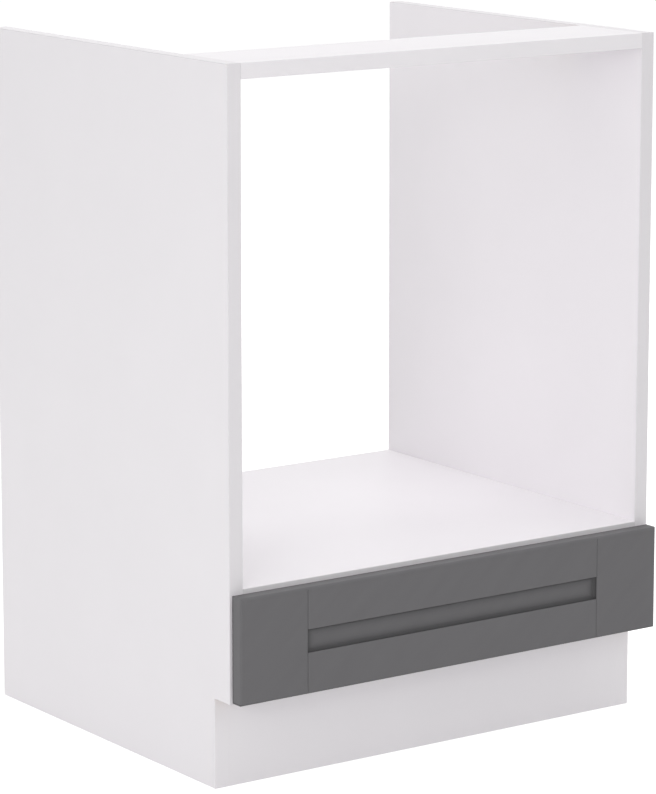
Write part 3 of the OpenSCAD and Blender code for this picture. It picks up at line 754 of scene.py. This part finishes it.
def screw(outline, reach, depth, head, shank):
    """A screw along +Z whose recess is open at -Z. head and shank are (radius, z) rings."""
    bm = bmesh.new()
    top_radius, top_z = head[0]
    corners = [bm.verts.new((x, y, top_z)) for x, y in outline]
    sides = [bm.edges.new(pair) for pair in zip(corners, corners[1:] + corners[:1])]
    bmesh.ops.subdivide_edges(bm, edges=sides, cuts=ROUND // len(outline) - 1)
    recess = list(bm.edges)
    bmesh.ops.create_circle(bm, segments=ROUND, radius=top_radius,
                            matrix=Matrix.Translation((0, 0, top_z)))
    rim = [e for e in bm.edges if e not in recess]
    bmesh.ops.bridge_loops(bm, edges=recess + rim)
    grow(bm, rim, top_radius, head[1:] + shank)
    grow(bm, recess, reach, [(reach * 0.55, top_z + depth), (reach * 0.1, top_z + depth * 1.15)])
    bmesh.ops.recalc_face_normals(bm, faces=bm.faces)
    return bm


def cross(reach, half_width):
    """The twelve corners of a cross."""
    arm = [(reach, -half_width), (reach, half_width), (half_width, half_width)]
    quarter = [(1, 0, 0, 1), (0, -1, 1, 0), (-1, 0, 0, -1), (0, 1, -1, 0)]
    return [(a * x + b * y, c * x + d * y) for a, b, c, d in quarter for x, y in arm]


def hexagon(reach):
    return [(reach * math.cos(k * math.pi / 3), reach * math.sin(k * math.pi / 3)) for k in range(6)]


ROOT, NECK, TIP = 0.72, 0.7, 0.15      # radii as shares of a thread's own


def thread(radius, start, end, pitch):
    """Rings that rise and fall like a thread, then a point."""
    neck_z = end - 2 * radius
    rings = []
    for k in range(int((neck_z - start) / pitch)):
        z = start + k * pitch
        rings += [(radius * ROOT, z), (radius, z + pitch / 2)]
    return rings + [(radius * NECK, neck_z), (radius * TIP, end)]


# %% Screws of the runners and of the front
def pan_screw(head_d, head_h, shank_d, length):
    """A pan-head screw whose head sits at z = 0."""
    radius, shank, reach = head_d / 2, shank_d / 2, head_d * 0.26
    head = [(radius * 0.62, -head_h), (radius * 0.84, -head_h * 0.86),
            (radius * 0.96, -head_h * 0.5), (radius, -head_h * 0.12), (radius * 0.98, 0), (shank, 0)]
    return screw(cross(reach, head_d * 0.055), reach, head_h * 0.9, head,
                 thread(shank, start=0.6, end=length, pitch=1.6))


CABINET_SCREW_YS = (-204.5, -12.5, 179.5)
SEAT_SCREW_X, SEAT_SCREW_YS = 265.0, (-198.5, -18.5, 161.5)
FRONT_SCREW_X, FRONT_SCREW_Y, FRONT_SCREW_ZS = 153.5, -227.5, (148.5, 193.0)
STEEL = 1.2
MID_Z = 139.5
MEMBER_Z = 131.0
places = [toward((side * (INNER_X - STEEL), y, MID_Z), (side, 0, 0))
          for side in SIDES for y in CABINET_SCREW_YS]
piece(stamped(pan_screw(head_d=6.5, head_h=1.2, shank_d=3.5, length=14.0), places),
      "channel_screws", [zinc_plate], "carcass", "zinc_plated_steel", "cabinet_runner_screws")
places = [toward((side * SEAT_SCREW_X, y, MEMBER_Z), (0, 0, 1))
          for side in SIDES for y in SEAT_SCREW_YS]
piece(stamped(pan_screw(head_d=6.5, head_h=1.2, shank_d=3.5, length=10.0), places),
      "member_screws", [zinc_plate], "drawer", "zinc_plated_steel", "drawer_runner_screws")
places = [toward((side * FRONT_SCREW_X, FRONT_SCREW_Y, z), (0, -1, 0))
          for side in SIDES for z in FRONT_SCREW_ZS]
piece(stamped(pan_screw(head_d=8.0, head_h=2.4, shank_d=4.0, length=28.0), places),
      "front_screws", [zinc_plate], "drawer", "zinc_plated_steel", "front_fixing_screws")

# %% Box screws, sunk flush into the drawer sides
BOX_X, BOX_Y0, BOX_Y1 = 269.5, -243.5, 206.5
BOX_SCREW_YS, BOX_SCREW_ZS = (-235.5, 198.5), (158.2, 186.0)
HEX_REACH, HEX_DEPTH = 2.3, 2.6
SUNK_HEAD = [(4.75, 0.0), (4.9, 0.15), (4.85, 0.5), (3.4, 3.0), (3.4, 12.0)]
box_screw = screw(hexagon(HEX_REACH), HEX_REACH, HEX_DEPTH, SUNK_HEAD,
                  thread(2.4, start=12.2, end=50.0, pitch=2.4))
places = [toward((side * BOX_X, y, z), (-side, 0, 0))
          for side in SIDES for y in BOX_SCREW_YS for z in BOX_SCREW_ZS]
piece(stamped(box_screw, places), "corner_screws", [zinc_plate], "drawer", "zinc_plated_steel",
      "drawer_box_screws")

# %% [markdown]
# ## Nails, bumpers and cam locks
#
# Small turned parts. The nails' heads lie flush in the hardboard. The bumpers are soft clear domes
# that keep the front from slapping the carcass. The cam locks stay as the CAD drew them, cross slot
# and all, and only their sharp edges are eased.

# %% Nails
NAIL_STEPS = 12
NAIL_SECTION = [(0, 0.08), (1.3, 0.0), (1.6, 0.12), (1.6, 0.6), (0.7, 0.75), (0.7, 16.6), (0, 18)]
SHEET_BACK_Y, BOX_FLOOR_Z, BOX_BACK_Y = 261.5, 140.3, 198.5
LAST_NAIL_X, BACK_NAIL_ZS = 227, (114, 226)
PANEL_MIDDLE_X, MIDDLE_NAIL_Z = 291, 170           # the middle of a side panel's thickness
BOX_NAIL_XS = (-198.5, 0, 198.5)

nail_xs = (-LAST_NAIL_X, -LAST_NAIL_X / 3, LAST_NAIL_X / 3, LAST_NAIL_X)
back_places = [(x, SHEET_BACK_Y, z) for x in nail_xs for z in BACK_NAIL_ZS]
back_places += [(side * PANEL_MIDDLE_X, SHEET_BACK_Y, MIDDLE_NAIL_Z) for side in SIDES]
places = [toward(place, (0, -1, 0)) for place in back_places]
piece(stamped(turned(NAIL_SECTION, NAIL_STEPS), places), "back_sheet_nails", [zinc_plate],
      "carcass", "zinc_plated_steel", "back_nails")
places = [toward((x, BOX_BACK_Y, BOX_FLOOR_Z), (0, 0, 1)) for x in BOX_NAIL_XS]
piece(stamped(turned(NAIL_SECTION, NAIL_STEPS), places), "box_sheet_nails", [zinc_plate],
      "drawer", "zinc_plated_steel", "drawer_bottom_nails")

# %% Bumpers
BUMPER_ZS = (117, 220)
bumper = turned([(0, 0), (4.0, 0), (4.0, 0.5), (3.8, 1.0), (3.3, 1.45), (2.4, 1.72), (0, 1.8)])
places = [toward((side * PANEL_MIDDLE_X, FRONT_BACK_Y, z), (0, 1, 0))
          for side in SIDES for z in BUMPER_ZS]
piece(stamped(bumper, places), "clear_bumpers", [soft_plastic], "drawer", "soft_plastic",
      "front_bumpers")

# %% Cam locks
EASE = 0.15
cams = merged_copy("cam_locks")
soften(cams, [e for e in cams.edges if is_sharp(e)], EASE, segments=2)
piece(cams, "cams", [cast_zinc], "carcass", "cast_zinc", "cam_locks")

# %% [markdown]
# ## Runners
#
# A runner is a strip of sheet steel, bent in a press. So it is made like one: the section is a chain
# of edges, which is extruded to its length and beveled at the bends. Holes are punched while
# it is still a sheet without thickness: four planes cut a square round the hole, the square is
# taken out, and a circle is bridged to its rim. Solidify then gives the sheet its gauge.

# %% Bending sheet steel
def bent(section, radii, y0, y1):
    """A strip whose section is a chain of (x, z) points, with a round bend at each inner point."""
    bm = bmesh.new()
    points = [bm.verts.new((x, y0, z)) for x, z in section]
    lines = [bm.edges.new(pair) for pair in zip(points, points[1:])]
    made = bmesh.ops.extrude_edge_only(bm, edges=lines)["geom"]
    bmesh.ops.translate(bm, vec=(0, y1 - y0, 0),
                        verts=[v for v in made if isinstance(v, bmesh.types.BMVert)])
    for (x, z), radius in zip(section[1:-1], radii):
        corner = [e for e in bm.edges if all((v.co - Vector((x, v.co.y, z))).length < TOUCH
                                             for v in e.verts)]
        soften(bm, corner, radius, segments=4)
    return bm


# %% Punching holes in it
def spans(face, centre):
    """Whether a point lies inside the box round a face, grown by a hair."""
    return all(min(v.co[a] for v in face.verts) - TOUCH < centre[a]
               < max(v.co[a] for v in face.verts) + TOUCH for a in range(3))


HOLE_STEPS = 16
SQUARE_HALF = 0.65     # half the square round a hole, as a share of the hole's diameter


def flat_at(bm, axis, centre):
    """The face across an axis that a point lies on."""
    return next(f for f in bm.faces if abs(f.normal[axis]) > STRAIGHT and spans(f, centre))


def punch(bm, centre, axis, diameter, steps=HOLE_STEPS):
    """A round hole through the flat part of a sheet that lies across an axis."""
    centre, half = Vector(centre), diameter * SQUARE_HALF
    upright = Vector([float(a == axis) for a in range(3)])
    for side in (a for a in range(3) if a != axis):
        for step in (-half, half):
            face = flat_at(bm, axis, centre)
            across = Vector([float(a == side) for a in range(3)])
            bmesh.ops.bisect_plane(bm, geom=[face, *face.edges, *face.verts], dist=SAME_POINT,
                                   plane_co=centre + across * step, plane_no=across)
    patch = flat_at(bm, axis, centre)
    rim = list(patch.edges)
    bmesh.ops.delete(bm, geom=[patch], context="FACES_ONLY")
    bmesh.ops.subdivide_edges(bm, edges=rim, cuts=steps // 4 - 1)
    rim = [e for e in bm.edges if len(e.link_faces) == 1
           and all(max(abs(c) for c in v.co - centre) < half + TOUCH for v in e.verts)]
    circle = bmesh.ops.create_circle(bm, segments=steps, radius=diameter / 2,
                                     matrix=toward(centre, upright))["verts"]
    known = set(circle)
    bmesh.ops.bridge_loops(bm, edges=rim + [e for e in bm.edges if known.issuperset(e.verts)])


def gauge(bm, side):
    """Gives a left-hand sheet its thickness on the drawer's side, and sends it to its own side."""
    bmesh.ops.recalc_face_normals(bm, faces=bm.faces)
    if sum(f.normal.x * f.calc_area() for f in bm.faces) > 0:
        bmesh.ops.reverse_faces(bm, faces=bm.faces)
    bmesh.ops.solidify(bm, geom=bm.faces, thickness=STEEL)
    if side > 0:
        bmesh.ops.scale(bm, vec=(-1, 1, 1), verts=bm.verts)
        bmesh.ops.reverse_faces(bm, faces=bm.faces)
    bmesh.ops.recalc_face_normals(bm, faces=bm.faces)
    return bm


# %% The carcass channels
CHANNEL_Y0, CHANNEL_Y1 = -239.5, 210.5
CHANNEL_Z0, CHANNEL_Z1, CHANNEL_W = 129.0, 150.2, 9.5
NOSE_Y = -213.5
BEND, TIGHT_BEND = 1.5, 0.4
AXLE_HOLE, SCREW_HOLE, SPARE_HOLE = 5.1, 4.0, 5.5
FRONT_ROLLER, REAR_ROLLER = (-225.5, 141.4), (192.5, 139.5)      # their Y and Z
SPARE_YS = (-140.5, -76.5, 51.5, 115.5)


def channel(side):
    """A channel that opens towards the drawer, with no upper flange over the roller in front."""
    out, lip = -INNER_X, -INNER_X + CHANNEL_W
    bm = bent([(lip, CHANNEL_Z0), (out, CHANNEL_Z0), (out, CHANNEL_Z1), (lip, CHANNEL_Z1)],
              (BEND, BEND), CHANNEL_Y0, CHANNEL_Y1)
    cut_line(bm, Y, NOSE_Y)
    middles = {f: f.calc_center_median() for f in bm.faces}
    nose = [f for f, m in middles.items() if m.y < NOSE_Y and m.z > MID_Z and m.x > out + TOUCH]
    bmesh.ops.delete(bm, geom=nose, context="FACES")
    punch(bm, (out, *FRONT_ROLLER), X, AXLE_HOLE)
    for y in CABINET_SCREW_YS:
        punch(bm, (out, y, MID_Z), X, SCREW_HOLE)
    for y in SPARE_YS:
        punch(bm, (out, y, MID_Z), X, SPARE_HOLE)
    return gauge(bm, side)


for word, side in NAMED_SIDES:
    piece(channel(side), f"{word}_channel", [runner_enamel], "carcass", "runner_enamel",
          f"cabinet_runner_{word}")

# %% The drawer members
SEAT_TIP_X, RIDE_TIP_X, WEB_X = -257.5, -279.2, -270.7
MEMBER_SPARE_YS = (-150.5, -64.5, 51.5, 115.5)


def member(side):
    """A strip with one flange under the drawer side and one that rides on the front roller."""
    bm = bent([(SEAT_TIP_X, MEMBER_Z), (WEB_X, MEMBER_Z), (WEB_X, RIDE_Z), (RIDE_TIP_X, RIDE_Z)],
              (BEND, TIGHT_BEND), BOX_Y0, BOX_Y1)
    punch(bm, (WEB_X, *REAR_ROLLER), X, AXLE_HOLE)
    for y in SEAT_SCREW_YS:
        punch(bm, (-SEAT_SCREW_X, y, MEMBER_Z), Z, SCREW_HOLE)
    for y in MEMBER_SPARE_YS:
        punch(bm, (WEB_X, y, MID_Z), X, SPARE_HOLE)
    return gauge(bm, side)


for word, side in NAMED_SIDES:
    piece(member(side), f"{word}_member", [runner_enamel], "drawer", "runner_enamel",
          f"drawer_runner_{word}")

# %% [markdown]
# ## Rollers and their axles
#
# A nylon roller is moulded with a sunken web between its hub and its tread, to save plastic, and the
# web has shallow pockets with spokes between them. The spokes also show that the roller turns
# when the drawer moves. The section is spun first, and groups of web faces are then pushed in. The
# axle is a rivet, with the dimple that the riveting tool leaves.

# %% Rollers
ROLLER_W, BORE, TREAD = 6.5, 2.55, 9.0
ROLLER_STEPS, SPOKES = 48, 6
WEB_NEAR, WEB_FAR = 1.5, 5.0
WEB_INNER, WEB_OUTER = 4.5, 6.4        # radii that its faces' middles lie between
SPOKE_STEPS, POCKET_ROUND, POCKET_DEPTH = 2, 0.2, 1.2
ROLLER_SECTION = [
    (BORE, 0.2), (4.0, 0.2), (4.4, WEB_NEAR), (6.5, WEB_NEAR), (6.9, 0.0), (8.2, 0.0), (8.75, 0.25),
    (TREAD, 0.8), (TREAD, 5.7), (8.75, 6.25), (8.2, ROLLER_W), (6.9, ROLLER_W), (6.5, WEB_FAR),
    (4.4, WEB_FAR), (4.0, 6.3), (BORE, 6.3)]


def roller(place, direction):
    """A roller whose nearer side lies at a place, and whose spokes look in a direction."""
    bm = turned(ROLLER_SECTION, ROLLER_STEPS, closed=True)
    middles = {f: f.calc_center_median() for f in bm.faces if f.normal.z > STRAIGHT}
    web = [f for f, middle in middles.items() if WEB_INNER < middle.xy.length < WEB_OUTER]
    web.sort(key=lambda f: math.atan2(middles[f].y, middles[f].x))
    share = ROLLER_STEPS // SPOKES
    for start in range(0, ROLLER_STEPS, share):
        bmesh.ops.inset_region(bm, faces=web[start: start + share - SPOKE_STEPS],
                               thickness=POCKET_ROUND, depth=-POCKET_DEPTH, use_even_offset=True)
    bmesh.ops.transform(bm, matrix=toward(place, direction), verts=bm.verts)
    return bm


STEEL_TO_ROLLER = 0.4
for word, side in NAMED_SIDES:
    start = side * (INNER_X - STEEL - STEEL_TO_ROLLER)
    piece(roller((start, *FRONT_ROLLER), (-side, 0, 0)), f"{word}_front_wheel", [nylon],
          f"front_roller_{word}", "nylon", f"front_roller_{word}")
    start = side * (-WEB_X + STEEL_TO_ROLLER)
    piece(roller((start, *REAR_ROLLER), (side, 0, 0)), f"{word}_rear_wheel", [nylon],
          f"rear_roller_{word}", "nylon", f"rear_roller_{word}")

# %% Axles
RIVET_SECTION = [(0, 0), (2.2, 0), (2.5, 0.2), (2.5, 8.5), (4.0, 8.5), (3.9, 8.8), (3.3, 9.15),
                 (2.2, 9.3), (1.3, 9.3), (0.9, 9.05), (0, 8.95)]
places = [toward((side * INNER_X, *FRONT_ROLLER), (-side, 0, 0)) for side in SIDES]
piece(stamped(turned(RIVET_SECTION), places), "front_wheel_rivets", [zinc_plate],
      "carcass", "zinc_plated_steel", "front_roller_axles")
places = [toward((side * BOX_X, *REAR_ROLLER), (side, 0, 0)) for side in SIDES]
piece(stamped(turned(RIVET_SECTION), places), "rear_wheel_rivets", [zinc_plate],
      "drawer", "zinc_plated_steel", "rear_roller_axles")

# %% [markdown]
# ## Floor, background and light
#
# The unit stands on a plain pale floor under soft light from large lamps, at a level where a
# white board renders as white as it is painted. The photo's background is pure white. The world
# shows white to the camera and in a gloss, and gives the object a softer light. The floor adds a
# little white of its own for the camera, and still shows the unit's shadow. A lamp seen at a flat
# angle in a satin board would burn it out to white, so only the lamp above shows in the gloss.

# %% Floor
def shows_background(tree):
    """1 for rays that show the background: from the camera, a gloss, or through something clear."""
    camera_ray, glossy_ray, clear_ray = (
        tree.node("ShaderNodeLightPath", output=name)
        for name in ("Is Camera Ray", "Is Glossy Ray", "Is Transmission Ray"))
    return camera_ray.sum("MINIMUM", camera_ray + glossy_ray + clear_ray, 1.0)


FLOOR_HALF = 12.0      # metres
FLOOR_GLOW = 0.69
pale = Finish("pale_floor", roughness=0.9, specular_ior_level=0.0)
pale.look(base_color=pale.mix(pale.noise(600), paint(226, 226, 226), paint(222, 222, 222)))
glow = pale.node("ShaderNodeEmission", {}, {"Strength": FLOOR_GLOW}, "Emission")
matt = Tap(pale, pale.shader.outputs["BSDF"])
lit = pale.node("ShaderNodeAddShader", {}, {0: matt, 1: glow})
pale.feed(pale.nodes["Material Output"], "Surface", pale.node(
    "ShaderNodeMixShader", {}, {0: shows_background(pale), 1: matt, 2: lit}))

bm = bmesh.new()
bmesh.ops.create_grid(bm, x_segments=4, y_segments=4, size=FLOOR_HALF)
floor_mesh = bpy.data.meshes.new("studio_floor")
bm.to_mesh(floor_mesh)
bm.free()
floor_mesh.materials.append(pale.material)
floor = bpy.data.objects.new("studio_floor", floor_mesh)
scene.collection.objects.link(floor)
print("floor:", 2 * FLOOR_HALF, "metres wide")

# %% World
AMBIENT, PURE_WHITE = 0.45, 1.0
scene.world = bpy.data.worlds.new("studio")
sky = Tree(scene.world)
soft, white = (sky.node("ShaderNodeBackground", {}, {"Color": shade(1.0), "Strength": strength})
               for strength in (AMBIENT, PURE_WHITE))
sky.feed(sky.nodes["World Output"], "Surface", sky.node(
    "ShaderNodeMixShader", {}, {0: shows_background(sky), 1: soft, 2: white}))


# %% Lamps
UNIT_MIDDLE = Vector((0, 0, 0.4))


def softbox(name, place, watts, size=3.0, in_gloss=False):
    """A large square lamp that looks at the middle of the unit, and may show in its gloss."""
    lamp = bpy.data.lights.new(name, "AREA")
    lamp.size, lamp.energy = size, watts
    holder = bpy.data.objects.new(name, lamp)
    holder.location = place
    holder.visible_glossy = in_gloss
    holder.rotation_euler = (UNIT_MIDDLE - Vector(place)).to_track_quat("-Z", "Y").to_euler()
    scene.collection.objects.link(holder)
    print(f"{name}: {watts} watts")


softbox("lamp_left", (-3.6, -1.8, 2.4), watts=29)
softbox("lamp_corner", (-3.0, -2.6, 1.2), watts=28, size=1.6)
softbox("lamp_front", (0.6, -4.0, 1.4), watts=17)
softbox("lamp_top", (0.0, 0.3, 4.6), watts=52, in_gloss=True)
softbox("lamp_back", (-0.1, 3.8, 1.8), watts=71)
softbox("lamp_right", (3.8, -1.2, 2.2), watts=26)

# %% [markdown]
# ## What stays as the CAD drew it, and the end
#
# The cam bolts and the dowels are plain round parts that sit inside the boards, so their CAD shapes
# stay and only take a finish.

# %% CAD nodes that stay, in their own finishes
for node, finish in (("cam_bolts", zinc_plate), ("dowels", beech)):
    for material_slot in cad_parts[node].material_slots:
        material_slot.material = finish
    print(f"{node}: {finish.name}")
